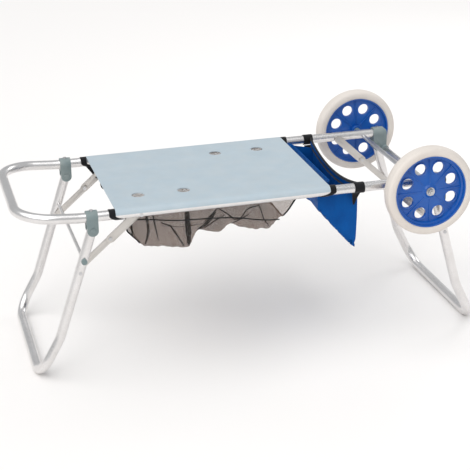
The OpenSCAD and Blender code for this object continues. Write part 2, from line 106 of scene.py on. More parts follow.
def finishPiece(piece, name, body, material, stands=()):
    makeActive(piece)
    bpy.ops.object.transform_apply(location=True, rotation=True, scale=True)
    piece.name = name
    piece.data.name = name
    piece.data.materials.clear()
    piece.data.materials.append(material)
    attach(piece, body)
    if stands:
        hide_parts(*stands)
    return piece


def gridSheet(columns, rows, place, size):
    # a grid laid out by place(u, v); its UV map spans size, in metres
    clearSelection()
    bpy.ops.mesh.primitive_grid_add(x_subdivisions=columns, y_subdivisions=rows, size=1)
    piece = bpy.context.object
    layer = piece.data.uv_layers.active.data
    for loop in piece.data.loops:
        u, v = (c + 0.5 for c in piece.data.vertices[loop.vertex_index].co[:2])
        layer[loop.index].uv = (u * size[0], v * size[1])
    for vert in piece.data.vertices:
        vert.co = place(vert.co.x + 0.5, vert.co.y + 0.5)
    piece.data.update()
    return piece


def cordAlong(points, radius):
    clearSelection()
    curve = bpy.data.curves.new("cordLine", "CURVE")
    curve.dimensions = "3D"
    curve.bevel_depth = radius
    curve.bevel_resolution = 2
    curve.use_fill_caps = True
    curve.resolution_u = 4
    line = curve.splines.new("NURBS")
    line.points.add(len(points) - 1)
    for spot, co in zip(line.points, points):
        spot.co = (*co, 1)
    line.order_u = 3
    line.use_endpoint_u = True
    piece = bpy.data.objects.new("cordLine", curve)
    bpy.context.scene.collection.objects.link(piece)
    makeActive(piece)
    bpy.ops.object.convert(target="MESH")
    return bpy.context.object


def latheProfile(points, centre, steps=96):
    # draws a closed profile of (radius, y) by extruding one vertex, then spins it round the Y axis
    clearSelection()
    bpy.ops.mesh.primitive_plane_add(size=0.001, location=(0, 0, 0))
    piece = bpy.context.object
    bpy.ops.object.mode_set(mode="EDIT")
    bpy.ops.mesh.select_all(action="SELECT")
    bpy.ops.mesh.merge(type="CENTER")
    bpy.ops.transform.translate(value=(points[0][0], points[0][1], 0))
    for a, b in zip(points, points[1:]):
        bpy.ops.mesh.extrude_region_move(
            TRANSFORM_OT_translate={"value": (b[0] - a[0], b[1] - a[1], 0)})
    bpy.ops.mesh.select_all(action="SELECT")
    bpy.ops.mesh.remove_doubles(threshold=1e-6)
    bpy.ops.mesh.spin(steps=steps, angle=math.tau, center=(0, 0, 0), axis=(0, 1, 0))
    bpy.ops.mesh.select_all(action="SELECT")
    bpy.ops.mesh.remove_doubles(threshold=1e-5)
    bpy.ops.mesh.normals_make_consistent(inside=False)
    bpy.ops.transform.translate(value=centre)
    bpy.ops.object.mode_set(mode="OBJECT")
    return piece


rounding = {"merge": 2e-6, "flat": 1.5, "sharp": 32, "steps": 2, "shade": 40}


def roundedCopy(node, width):
    # merged copy of a CAD node with its sharp edges rounded over
    clearSelection()
    source = cadNodes[node]
    piece = source.copy()
    piece.data = source.data.copy()
    for key in list(piece.keys()):
        del piece[key]
    piece.parent = None
    piece.matrix_world = Matrix.Identity(4)
    bpy.context.scene.collection.objects.link(piece)
    makeActive(piece)
    bpy.ops.object.mode_set(mode="EDIT")
    bpy.ops.mesh.select_all(action="SELECT")
    bpy.ops.mesh.remove_doubles(threshold=rounding["merge"])
    bpy.ops.mesh.dissolve_limited(angle_limit=math.radians(rounding["flat"]))
    bpy.ops.object.mode_set(mode="OBJECT")
    if piece.data.has_custom_normals:
        bpy.ops.mesh.customdata_custom_splitnormals_clear()
    useModifier(piece, "BEVEL", width=width, segments=rounding["steps"],
                limit_method="ANGLE", angle_limit=math.radians(rounding["sharp"]),
                use_clamp_overlap=True)
    smooth(piece, rounding["shade"])
    return piece


def startGroup(name, inputs, outputs):
    group = bpy.data.node_groups.new(name, "ShaderNodeTree")
    for label, kind, value in inputs:
        socket = group.interface.new_socket(label, in_out="INPUT", socket_type=kind)
        if value is not None:
            socket.default_value = value
    for label, kind in outputs:
        group.interface.new_socket(label, in_out="OUTPUT", socket_type=kind)
    start = group.nodes.new("NodeGroupInput")
    end = group.nodes.new("NodeGroupOutput")
    return group, start, end


def addMath(tree, operation, a, b=None, c=None, clamp=False):
    node = tree.nodes.new("ShaderNodeMath")
    node.operation = operation
    node.use_clamp = clamp
    for socket, value in zip(node.inputs, (a, b, c)):
        if value is None:
            continue
        if isinstance(value, (int, float)):
            socket.default_value = value
        else:
            tree.links.new(value, socket)
    return node.outputs[0]


floatKind, vectorKind = "NodeSocketFloat", "NodeSocketVector"


def buildGrain():
    # fine and broad noise over a stretched space
    group, start, end = startGroup(
        "surfaceGrain",
        [("Vector", vectorKind, None), ("Stretch", vectorKind, (1, 1, 1)),
         ("Scale", floatKind, 900), ("Broad Scale", floatKind, 14)],
        [("Fine", floatKind), ("Broad", floatKind)])
    link = group.links.new
    stretch = group.nodes.new("ShaderNodeVectorMath")
    stretch.operation = "MULTIPLY"
    link(start.outputs["Vector"], stretch.inputs[0])
    link(start.outputs["Stretch"], stretch.inputs[1])
    fine = group.nodes.new("ShaderNodeTexNoise")
    fine.inputs["Detail"].default_value = 3
    link(stretch.outputs[0], fine.inputs["Vector"])
    link(start.outputs["Scale"], fine.inputs["Scale"])
    broad = group.nodes.new("ShaderNodeTexNoise")
    broad.inputs["Detail"].default_value = 4
    broad.inputs["Roughness"].default_value = 0.6
    link(start.outputs["Vector"], broad.inputs["Vector"])
    link(start.outputs["Broad Scale"], broad.inputs["Scale"])
    link(fine.outputs["Fac"], end.inputs["Fine"])
    link(broad.outputs["Fac"], end.inputs["Broad"])
    return group


def buildEdgeWear():
    # bright where an outer edge has rubbed, broken up by noise
    group, start, end = startGroup(
        "edgeWear",
        [("Vector", vectorKind, None), ("Radius", floatKind, 0.0012),
         ("Amount", floatKind, 1.0)],
        [("Mask", floatKind)])
    link = group.links.new
    bevel = group.nodes.new("ShaderNodeBevel")
    bevel.samples = 4
    link(start.outputs["Radius"], bevel.inputs["Radius"])
    geometry = group.nodes.new("ShaderNodeNewGeometry")
    dot = group.nodes.new("ShaderNodeVectorMath")
    dot.operation = "DOT_PRODUCT"
    link(bevel.outputs["Normal"], dot.inputs[0])
    link(geometry.outputs["Normal"], dot.inputs[1])
    edge = addMath(group, "SUBTRACT", 1.0, dot.outputs["Value"], clamp=True)
    edge = addMath(group, "MULTIPLY", edge, 5.0, clamp=True)
    speck = group.nodes.new("ShaderNodeTexNoise")
    speck.inputs["Scale"].default_value = 160
    speck.inputs["Detail"].default_value = 4
    link(start.outputs["Vector"], speck.inputs["Vector"])
    broken = addMath(group, "MULTIPLY_ADD", speck.outputs["Fac"], 4.0, -1.6, clamp=True)
    mask = addMath(group, "MULTIPLY", edge, broken)
    mask = addMath(group, "MULTIPLY", mask, start.outputs["Amount"], clamp=True)
    link(mask, end.inputs["Mask"])
    return group


def buildWeave():
    # plain weave of two sets of threads, on flat cloth coordinates in metres
    group, start, end = startGroup(
        "clothWeave",
        [("Vector", vectorKind, None), ("Pitch", floatKind, 0.001)],
        [("Height", floatKind), ("Thread", floatKind)])
    link = group.links.new
    split = group.nodes.new("ShaderNodeSeparateXYZ")
    link(start.outputs["Vector"], split.inputs[0])
    waves = []
    for axis in ("X", "Y"):
        turns = addMath(group, "DIVIDE", split.outputs[axis], start.outputs["Pitch"])
        waves.append(addMath(group, "SINE", addMath(group, "MULTIPLY", turns, math.pi)))
    cross = addMath(group, "MULTIPLY", waves[0], waves[1])
    link(addMath(group, "MULTIPLY_ADD", cross, 0.5, 0.5), end.inputs["Height"])
    link(addMath(group, "ABSOLUTE", cross), end.inputs["Thread"])
    return group


def buildNetMesh():
    # 1 on the threads of a diamond mesh and 0 in its openings
    group, start, end = startGroup(
        "netMesh",
        [("Vector", vectorKind, None), ("Cell", floatKind, 0.003),
         ("Thread", floatKind, 0.25)],
        [("Mask", floatKind)])
    link = group.links.new
    split = group.nodes.new("ShaderNodeSeparateXYZ")
    link(start.outputs["Vector"], split.inputs[0])
    masks = []
    for operation in ("ADD", "SUBTRACT"):
        diagonal = addMath(group, operation, split.outputs["X"], split.outputs["Y"])
        turns = addMath(group, "DIVIDE", diagonal, start.outputs["Cell"])
        part = addMath(group, "FRACT", turns)
        masks.append(addMath(group, "LESS_THAN", part, start.outputs["Thread"]))
    link(addMath(group, "MAXIMUM", *masks), end.inputs["Mask"])
    return group


def buildDust():
    # pale dust that settled on what faces up, in the piece's own space
    group, start, end = startGroup(
        "settledDust",
        [("Vector", vectorKind, None), ("Normal", vectorKind, None),
         ("Amount", floatKind, 0.3)],
        [("Mask", floatKind)])
    link = group.links.new
    split = group.nodes.new("ShaderNodeSeparateXYZ")
    link(start.outputs["Normal"], split.inputs[0])
    up = addMath(group, "MULTIPLY_ADD", split.outputs["Z"], 0.6, 0.4, clamp=True)
    patches = group.nodes.new("ShaderNodeTexNoise")
    patches.inputs["Scale"].default_value = 30
    patches.inputs["Detail"].default_value = 6
    link(start.outputs["Vector"], patches.inputs["Vector"])
    spread = addMath(group, "MULTIPLY_ADD", patches.outputs["Fac"], 3.0, -1.0, clamp=True)
    mask = addMath(group, "MULTIPLY", addMath(group, "MULTIPLY", up, spread),
                   start.outputs["Amount"], clamp=True)
    link(mask, end.inputs["Mask"])
    return group


groups = {"grain": buildGrain(), "wear": buildEdgeWear(), "weave": buildWeave(),
          "net": buildNetMesh(), "dust": buildDust()}


class Finish:
    # a material with its Principled shader and short ways to hook things up
    def __init__(self, name, **values):
        self.mat = bpy.data.materials.new(name)
        self.mat.use_nodes = True
        self.tree = self.mat.node_tree
        self.shader = next(n for n in self.tree.nodes if n.type == "BSDF_PRINCIPLED")
        self.coords = self.tree.nodes.new("ShaderNodeTexCoord")
        for label, value in values.items():
            self.shader.inputs[label.replace("_", " ")].default_value = value

    def link(self, output, socket):
        self.tree.links.new(output, socket)

    def group(self, key, **values):
        node = self.tree.nodes.new("ShaderNodeGroup")
        node.node_tree = groups[key]
        for label, value in values.items():
            socket = node.inputs[label.replace("_", " ")]
            if isinstance(value, bpy.types.NodeSocket):
                self.link(value, socket)
            else:
                socket.default_value = value
        return node.outputs

    def mix(self, factor, a, b):
        node = self.tree.nodes.new("ShaderNodeMix")
        node.data_type = "RGBA"
        self.link(factor, node.inputs["Factor"])
        for value, socket in ((a, node.inputs[6]), (b, node.inputs[7])):
            if isinstance(value, bpy.types.NodeSocket):
                self.link(value, socket)
            else:
                socket.default_value = (*value, 1)
        return node.outputs[2]

    def spread(self, value, low, high):
        node = self.tree.nodes.new("ShaderNodeMapRange")
        self.link(value, node.inputs["Value"])
        node.inputs["To Min"].default_value = low
        node.inputs["To Max"].default_value = high
        return node.outputs["Result"]

    def bump(self, height, strength, distance):
        node = self.tree.nodes.new("ShaderNodeBump")
        node.inputs["Strength"].default_value = strength
        node.inputs["Distance"].default_value = distance
        self.link(height, node.inputs["Height"])
        self.link(node.outputs["Normal"], self.shader.inputs["Normal"])

    def colour(self, output):
        self.link(output, self.shader.inputs["Base Color"])

    def rough(self, output):
        self.link(output, self.shader.inputs["Roughness"])


def metalFinish(name, base, dark, roughness, stretch=(1, 1, 1), wear=0.5):
    made = Finish(name, Metallic=1.0)
    here = made.coords.outputs["Object"]
    grain = made.group("grain", Vector=here, Stretch=stretch, Scale=700, Broad_Scale=22)
    wearMask = made.group("wear", Vector=here, Radius=0.0008, Amount=wear)["Mask"]
    toned = made.mix(made.spread(grain["Broad"], -0.4, 1.2), base, dark)
    made.colour(made.mix(wearMask, toned, [min(1, c * 1.12) for c in base]))
    made.rough(made.spread(grain["Fine"], roughness[0], roughness[1]))
    made.bump(grain["Fine"], 0.12, 0.0002)
    return made.mat


def plasticFinish(name, base, shade, worn, roughness, grainScale, bump, dust, coat=0.0):
    made = Finish(name, Coat_Weight=coat, Coat_Roughness=0.25)
    here = made.coords.outputs["Object"]
    grain = made.group("grain", Vector=here, Scale=grainScale, Broad_Scale=18)
    wearMask = made.group("wear", Vector=here, Radius=0.0012, Amount=0.7)["Mask"]
    dustMask = made.group("dust", Vector=here, Normal=made.coords.outputs["Normal"],
                          Amount=dust)["Mask"]
    toned = made.mix(made.spread(grain["Broad"], -0.3, 1.2), base, shade)
    toned = made.mix(wearMask, toned, worn)
    made.colour(made.mix(dustMask, toned, (0.62, 0.58, 0.53)))
    made.rough(made.spread(grain["Fine"], roughness[0], roughness[1]))
    made.bump(grain["Fine"], bump, 0.0003)
    return made.mat


def clothFinish(name, base, shade, pitch, roughness, bump=0.5, sheen=0.2):
    made = Finish(name, Sheen_Weight=sheen, Sheen_Roughness=0.5, Specular_IOR_Level=0.15)
    flat = made.coords.outputs["UV"]
    weave = made.group("weave", Vector=flat, Pitch=pitch)
    grain = made.group("grain", Vector=made.coords.outputs["Object"], Scale=260,
                       Broad_Scale=26)
    toned = made.mix(made.spread(grain["Broad"], -0.4, 1.3), base, shade)
    made.colour(made.mix(made.spread(weave["Thread"], 0.35, 0.0), toned, shade))
    made.rough(made.spread(grain["Fine"], roughness[0], roughness[1]))
    made.bump(weave["Height"], bump, 0.0004)
    return made.mat


def netFinish(name, base, shade, thread):
    made = Finish(name, Specular_IOR_Level=0.15)
    flat = made.coords.outputs["UV"]
    mask = made.group("net", Vector=flat, Cell=0.0034, Thread=thread)["Mask"]
    grain = made.group("grain", Vector=made.coords.outputs["Object"], Scale=300,
                       Broad_Scale=24)
    made.colour(made.mix(made.spread(grain["Broad"], -0.4, 1.2), base, shade))
    made.rough(made.spread(grain["Fine"], 0.65, 0.9))
    made.link(mask, made.shader.inputs["Alpha"])
    return made.mat


looks = {
    "tube": metalFinish("satinTube", (0.83, 0.815, 0.81), (0.7, 0.68, 0.67), (0.2, 0.34)),
    "stay": metalFinish("staySheet", (0.68, 0.65, 0.62), (0.52, 0.5, 0.47), (0.3, 0.46)),
    "steel": metalFinish("zincSteel", (0.66, 0.66, 0.67), (0.42, 0.42, 0.43), (0.22, 0.4)),
    "grey": plasticFinish("greyGreenPlastic", (0.2, 0.26, 0.265), (0.15, 0.2, 0.205),
                          (0.38, 0.42, 0.42), (0.42, 0.6), 900, 0.25, 0.25),
    "blue": plasticFinish("royalBluePlastic", (0.0, 0.105, 0.46), (0.0, 0.07, 0.34),
                          (0.03, 0.16, 0.62), (0.26, 0.42), 700, 0.12, 0.02, coat=0.1),
    "tyre": plasticFinish("creamFoam", (0.76, 0.705, 0.65), (0.66, 0.6, 0.545),
                          (0.86, 0.82, 0.77), (0.5, 0.7), 1200, 0.35, 0.1),
    "table": plasticFinish("paleBlueSheet", (0.465, 0.55, 0.605), (0.4, 0.485, 0.54),
                           (0.66, 0.7, 0.72), (0.38, 0.55), 1500, 0.2, 0.12),
    # the folded lip of the table sheet in a darker blue: painted shade on its rolled edge
    "hemShade": plasticFinish("tableEdgeShaded", (0.3, 0.37, 0.42), (0.24, 0.3, 0.35),
                         (0.5, 0.55, 0.58), (0.4, 0.6), 1500, 0.2, 0.1),
    "fabric": clothFinish("blueNylon", (0.0, 0.105, 0.4), (0.0, 0.06, 0.26), 0.0012,
                          (0.6, 0.8), sheen=0.0),
    "webbing": clothFinish("blackWebbing", (0.012, 0.012, 0.014), (0.004, 0.004, 0.005),
                           0.0016, (0.6, 0.8), bump=0.7, sheen=0.15),
    "net": netFinish("openNet", (0.25, 0.17, 0.13), (0.1, 0.072, 0.058), 0.4),
    # denser net in a near-black colour: painted shade for the bunched folds
    "fold": netFinish("bunchedNetShade", (0.03, 0.026, 0.024), (0.012, 0.011, 0.011), 0.6),
}
print("finishes built")


view = {"place": (-0.7842, -2.8909, 1.4233), "turn": -0.2632, "tilt": -0.3827,
        "roll": 0.0166, "lens": 103.57}


def makeCamera():
    clearSelection()
    bpy.ops.object.camera_add()
    camera = bpy.context.object
    camera.name = "viewCamera"
    turned = (Matrix.Rotation(view["turn"], 3, "Z") @ Matrix.Rotation(view["tilt"], 3, "X")
              @ Matrix.Rotation(view["roll"], 3, "Y")
              @ Matrix.Rotation(math.pi / 2, 3, "X"))
    camera.matrix_world = Matrix.Translation(view["place"]) @ turned.to_4x4()
    camera.data.lens = view["lens"]
    camera.data.sensor_width = 36
    camera.data.clip_end = 50
    bpy.context.scene.camera = camera


studio = {
    "sky": 0.56,
    "sun": {"strength": 1.7, "angle": math.radians(80), "from": (-0.5, -0.35, 1.0)},
    "lights": [((-1.6, -2.4, 2.4), 1.4, 16), ((2.2, 1.6, 2.0), 1.4, 14)],
}


def makeStudio():
    bpy.context.scene.view_settings.view_transform = "Standard"
    world = bpy.data.worlds.new("softSky")
    bpy.context.scene.world = world
    world.use_nodes = True
    back = world.node_tree.nodes["Background"]
    back.inputs["Color"].default_value = (0.96, 0.98, 1.0, 1)
    back.inputs["Strength"].default_value = studio["sky"]
    for place, size, power in studio["lights"]:
        clearSelection()
        bpy.ops.object.light_add(type="AREA", location=place)
        lamp = bpy.context.object
        lamp.data.size = size
        lamp.data.energy = power
        aim = Vector((0, 0, 0.25)) - Vector(place)
        lamp.rotation_euler = aim.to_track_quat("-Z", "Y").to_euler()
    clearSelection()
    bpy.ops.object.light_add(type="SUN", location=studio["sun"]["from"])
    sun = bpy.context.object
    sun.data.energy = studio["sun"]["strength"]
    sun.data.angle = studio["sun"]["angle"]
    down = -Vector(studio["sun"]["from"])
    sun.rotation_euler = down.to_track_quat("-Z", "Y").to_euler()
    clearSelection()
    bpy.ops.mesh.primitive_plane_add(size=60, location=(0, 0, 0))
    floor = bpy.context.object
    floor.name = "studioFloor"
    paint = Finish("paleFloor", Roughness=0.9, Base_Color=(0.93, 0.905, 0.885, 1))
    floor.data.materials.append(paint.mat)


makeCamera()
makeStudio()
print("camera and studio ready")


nodeLooks = {
    "tube": ["frame_tube", "front_leg_tube", "rear_leg_tube", "rear_cross_tube",
             "front_cross_rod"],
    "steel": ["clip_screws", "stay_rail_rivets", "axle", "axle_washers",
              "axle_nuts", "front_leg_rivets", "rear_leg_rivets",
              "front_stay_mid_rivets", "front_stay_caps", "rear_stay_mid_rivets",
              "rear_stay_caps"],
    "grey": ["axle_spacer_left", "axle_spacer_right", "cross_rod_caps",
             "leg_pivot_pins"],
}
for look, names in nodeLooks.items():
    for name in names:
        node = cadNodes[name]
        node.data.materials.clear()
        node.data.materials.append(looks[look])

# clips, brackets and stays keep their shape, with moulded or rolled edges
roundOver = {
    "grey": (["front_clip_left", "front_clip_right", "rear_bracket_left",
              "rear_bracket_right"], 0.0011, "grey_plastic"),
    "stay": ([f"{end}_stay_{part}_{side}" for end in ("front", "rear")
              for part in ("upper", "lower") for side in ("left", "right")], 0.0005,
             "stay_sheet"),
}
for look, (names, width, slot) in roundOver.items():
    for name in names:
        finishPiece(roundedCopy(name, width), name + "_shown", nodeBody[name],
                    looks[look], (name,))
print("hardware finished")


table = {"lip": 0.0028, "lipInset": 0.001, "lipThick": 0.0009, "sheetThick": 0.0019,
         "railInset": 0.0131, "endGap": 0.0125}


def makeTable():
    low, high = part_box("tabletop")
    sheet = cadNodes["tabletop"]
    sheet.data.materials.clear()
    sheet.data.materials.append(looks["table"])
    railY = high.y - table["railInset"]
    for name, x, way in (("tableLipHandle", low.x, 1), ("tableLipWheel", high.x, -1)):
        # the end of the sheet is folded under itself in a small roll, coloured darker than the
        # sheet as painted shade
        lip = gridSheet(10, 60, lambda u, v, x=x, way=way: Vector((
            x + way * (table["lipInset"] + table["lip"] * (1 - math.cos(math.pi * u)) * 0.5),
            (2 * v - 1) * (railY - table["endGap"]),
            high.z - table["sheetThick"] - table["lip"] * math.sin(math.pi * u) * 0.9)),
            (0.01, 0.37))
        useModifier(lip, "SOLIDIFY", thickness=table["lipThick"], offset=0)
        smooth(lip)
        finishPiece(lip, name, "frame", looks["hemShade"])


makeTable()
print("table finished")


wheel = {
    "rimWidth": 0.030, "rimWall": 0.0036, "hubRadius": 0.0845, "tyreRadius": 0.104,
    "tyreWidth": 0.036, "webNear": 0.0035, "webFar": -0.0015, "bossRadius": 0.013,
    "bossOut": 0.010, "bossIn": 0.014, "boreRadius": 0.0051, "holes": 8,
    "turn": math.radians(21),
    "holeRadius": 0.014, "holeCircle": 0.056, "collar": 0.0022, "collarOut": 0.0016,
    "ribThick": 0.0022, "ribOut": 0.0085,
}


def tyreProfile():
    half = wheel["tyreWidth"] / 2
    inner, outer = wheel["hubRadius"], wheel["tyreRadius"]
    points = [(inner - 0.0002, -half * 0.86), (inner + 0.0022, -half * 0.97)]
    # a round section with a slightly flattened tread and two shallow grooves
    for i in range(25):
        turn = math.pi * i / 24
        across = -math.cos(turn)
        rise = math.sin(turn)
        y = math.copysign(abs(across) ** 0.8, across) * half
        r = inner + 0.005 + (outer - inner - 0.005) * rise ** 0.62
        if 9 <= i <= 10 or 14 <= i <= 15:
            r -= 0.0007
        points.append((r, y))
    points += [(inner + 0.0022, half * 0.97), (inner - 0.0002, half * 0.86),
               (inner - 0.0002, -half * 0.86)]
    return points


def hubProfile(side):
    w = wheel
    half, wall, outer = w["rimWidth"] / 2, w["rimWall"], w["hubRadius"]
    near, far = w["webNear"], w["webFar"]
    face = [
        (w["boreRadius"], -w["bossIn"]), (w["bossRadius"] - 0.001, -w["bossIn"]),
        (w["bossRadius"], -w["bossIn"] + 0.001), (w["bossRadius"], far - 0.003),
        (w["bossRadius"] + 0.003, far - 0.0035), (outer - wall - 0.006, -0.0035),
        (outer - wall - 0.001, -0.006), (outer - wall, -half + 0.001),
        (outer - wall + 0.0006, -half), (outer - 0.0004, -half), (outer, -half + 0.0006),
        (outer, half - 0.0006), (outer - 0.0004, half), (outer - wall + 0.0006, half),
        (outer - wall, half - 0.001), (outer - wall - 0.0006, 0.0075),
        (outer - wall - 0.0045, 0.0062), (outer - wall - 0.0065, near - 0.002),
        (w["bossRadius"] + 0.006, near + 0.0015), (w["bossRadius"] + 0.001, near + 0.004),
        (w["bossRadius"], w["bossOut"] - 0.001), (w["bossRadius"] - 0.001, w["bossOut"]),
        (w["boreRadius"], w["bossOut"]), (w["boreRadius"], -w["bossIn"]),
    ]
    return [(r, side * y) for r, y in face]


def cutHoles(hub, centre):
    # eight round holes through the web, cut with one set of joined plugs
    w = wheel
    clearSelection()
    plugs = []
    for i in range(w["holes"]):
        turn = w["turn"] + math.tau * i / w["holes"]
        spot = centre + Vector((math.cos(turn), 0, -math.sin(turn))) * w["holeCircle"]
        bpy.ops.mesh.primitive_cylinder_add(vertices=40, radius=w["holeRadius"], depth=0.03,
                                            location=spot, rotation=(math.pi / 2, 0, 0))
        plugs.append(bpy.context.object)
    makeActive(plugs[0])
    for plug in plugs:
        plug.select_set(True)
    bpy.ops.object.join()
    plug = bpy.context.object
    useModifier(hub, "BOOLEAN", operation="DIFFERENCE", object=plug, solver="EXACT")
    bpy.data.objects.remove(plug)


def addRibs(hub, centre, side):
    w = wheel
    pieces = []
    for i in range(w["holes"]):
        turn = w["turn"] + math.tau * (i + 0.5) / w["holes"]
        # a rib runs from the boss to the rim and gets lower on the way
        inner, outer = w["bossRadius"] - 0.002, w["hubRadius"] - w["rimWall"] - 0.0008
        clearSelection()
        bpy.ops.mesh.primitive_cube_add(size=1)
        rib = bpy.context.object
        bpy.ops.object.mode_set(mode="EDIT")
        bpy.ops.transform.resize(value=(outer - inner, 0.013, w["ribThick"]))
        bpy.ops.transform.translate(value=((outer + inner) / 2, -0.0005 * side, 0))
        pickFaces(rib, lambda f: f.normal.x > 0.9)
        bpy.ops.transform.resize(value=(1, 0.78, 0.8))
        bpy.ops.mesh.select_all(action="SELECT")
        bpy.ops.mesh.bevel(offset=0.0005, segments=2, affect="EDGES")
        bpy.ops.object.mode_set(mode="OBJECT")
        rib.data.transform(Matrix.Rotation(turn, 4, "Y"))
        rib.data.transform(Matrix.Translation(centre))
        pieces.append(rib)
    for i in range(w["holes"]):
        turn = w["turn"] + math.tau * i / w["holes"]
        spot = centre + Vector((math.cos(turn), 0, -math.sin(turn))) * w["holeCircle"]
        # raised collar round each hole
        ring = [(w["holeRadius"] - 0.00015, -0.004), (w["holeRadius"] + w["collar"], -0.004),
                (w["holeRadius"] + w["collar"], 0.0040), (w["holeRadius"] + 0.0016, 0.0046),
                (w["holeRadius"] + 0.0005, 0.0046), (w["holeRadius"] - 0.00015, 0.0040),
                (w["holeRadius"] - 0.00015, -0.004)]
        pieces.append(latheProfile([(r, side * y) for r, y in ring], spot, 40))
    makeActive(hub)
    for piece in pieces:
        piece.select_set(True)
    bpy.ops.object.join()


def makeWheel(word, side):
    low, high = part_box(f"tyre_{word}")
    centre = (low + high) / 2
    tyre = latheProfile([(r, y) for r, y in tyreProfile()], centre, 128)
    smooth(tyre, 60)
    finishPiece(tyre, f"tyreShown_{word}", f"wheel_{word}", looks["tyre"],
                (f"tyre_{word}",))
    hub = latheProfile(hubProfile(side), centre, 96)
    cutHoles(hub, centre)
    addRibs(hub, centre, side)
    smooth(hub, 35)
    finishPiece(hub, f"hubShown_{word}", f"wheel_{word}", looks["blue"],
                (f"hub_{word}",))


makeWheel("left", 1)
makeWheel("right", -1)
print("wheels finished")


net = {
    "columns": 110, "rows": 110, "endSlant": (0.036, 0.044), "slack": 0.10, "frames": 46,
    # depth of the bag's bottom along its length, as shares of the length and metres
    "depths": [(0.0, 0.100), (0.03, 0.1085), (0.20, 0.115), (0.31, 0.1205), (0.41, 0.0845),
               (0.54, 0.0945), (0.63, 0.0785), (0.70, 0.088), (0.81, 0.0955),
               (0.88, 0.0945), (1.0, 0.074)],
    # routes (x, z) along which the mesh bunches into folds, with their widths; each fold gets a
    # near-black band of painted shade
    "folds": [([(-0.283, 0.350), (-0.280, 0.300)], 0.004),
              ([(-0.250, 0.372), (-0.244, 0.315), (-0.252, 0.282)], 0.006),
              ([(-0.238, 0.372), (-0.231, 0.339), (-0.222, 0.288)], 0.0035),
              ([(-0.215, 0.330), (-0.193, 0.320), (-0.164, 0.268)], 0.0045),
              ([(-0.158, 0.374), (-0.155, 0.320), (-0.152, 0.268)], 0.013),
              ([(-0.092, 0.345), (-0.112, 0.315), (-0.130, 0.300)], 0.009),
              ([(-0.118, 0.318), (-0.100, 0.340), (-0.086, 0.353), (-0.066, 0.338),
                (-0.046, 0.318), (-0.033, 0.319), (-0.018, 0.340), (0.010, 0.349),
                (0.016, 0.334), (0.024, 0.309), (0.036, 0.291)], 0.0035),
              ([(-0.050, 0.306), (-0.033, 0.318), (-0.012, 0.328)], 0.004),
              ([(-0.120, 0.300), (-0.095, 0.322), (-0.070, 0.335)], 0.0028),
              ([(-0.215, 0.322), (-0.170, 0.318), (-0.120, 0.316)], 0.002)],
    "corner": 0.014, "sideLean": 0.004, "travel": 0.009,
    "cordRadius": 0.0015, "hemRadius": 0.0019,
    # the pattern's own span, and the size that the bag was cut to
    "patternSpan": (0.46, 0.56), "cutSize": (0.44, 0.5),
}


def alongTable(pairs, t):
    for (a, x), (b, y) in zip(pairs, pairs[1:]):
        if t <= b:
            w = (t - a) / (b - a)
            w = w * w * (3 - 2 * w)
            return x + (y - x) * w
    return pairs[-1][1]


netLow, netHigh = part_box("storage_net")


def netPlace(u, v):
    # v runs from the near edge down, across the bottom and up to the far edge
    top = netHigh.z - 0.002
    deep = alongTable(net["depths"], u)
    half = (netHigh.y - netLow.y) / 2 - 0.002
    corner, lean = net["corner"], net["sideLean"]
    path = [(-half, 0), (-half + lean, -(deep - corner)), (-half + corner, -deep),
            (half - corner, -deep), (half - lean, -(deep - corner)), (half, 0)]
    lengths = [math.dist(a, b) for a, b in zip(path, path[1:])]
    total = sum(lengths)
    run = v * total
    for (a, b), length in zip(zip(path, path[1:]), lengths):
        if run <= length + 1e-9:
            w = run / length
            y, z = a[0] + (b[0] - a[0]) * w, a[1] + (b[1] - a[1]) * w
            break
        run -= length
    low = min(1, -z / max(deep, 1e-6))
    turnIn = max(0.0, min(1.0, (low - 0.62) / 0.38))
    first = netLow.x + 0.001 + net["endSlant"][0] * turnIn
    last = netHigh.x - 0.001 - net["endSlant"][1] * low
    x = first + (last - first) * u
    spot = Vector((x, y, top + z))
    # starting folds, strongest between the edge and the bottom
    fold = noise.noise(Vector((x * 26, v * 2.2, 3.1))) + 0.5 * noise.noise(
        Vector((x * 60, v * 4.0, 7.7)))
    side = math.sin(math.pi * min(1, low))
    spot.y += fold * 0.010 * (0.3 + side) * (-1 if y < 0 else 1) * -1 * (low > 0.01)
    spot.z += abs(fold) * 0.006 * low
    return spot


def runCloth(piece, pinned, frames, slack, gravity=1.0, stiff=8.0, bend=0.05, mass=0.12):
    group = piece.vertex_groups.new(name="pins")
    group.add(pinned, 1.0, "REPLACE")
    makeActive(piece)
    mod = piece.modifiers.new("Cloth", "CLOTH")
    mod.settings.vertex_group_mass = "pins"
    mod.settings.quality = 6
    mod.settings.mass = mass
    mod.settings.tension_stiffness = stiff
    mod.settings.compression_stiffness = stiff
    mod.settings.shear_stiffness = stiff * 0.5
    mod.settings.bending_stiffness = bend
    mod.settings.shrink_min = -slack
    mod.settings.shrink_max = -slack
    mod.settings.air_damping = 2.0
    mod.settings.effector_weights.gravity = gravity
    mod.point_cache.frame_start = 1
    mod.point_cache.frame_end = frames
    for number in range(1, frames + 1):
        bpy.context.scene.frame_set(number)
    makeActive(piece)
    bpy.ops.object.modifier_apply(modifier=mod.name)
    piece.vertex_groups.clear()
    bpy.context.scene.frame_set(1)


def meshArea(piece):
    return sum(face.area for face in piece.data.polygons)


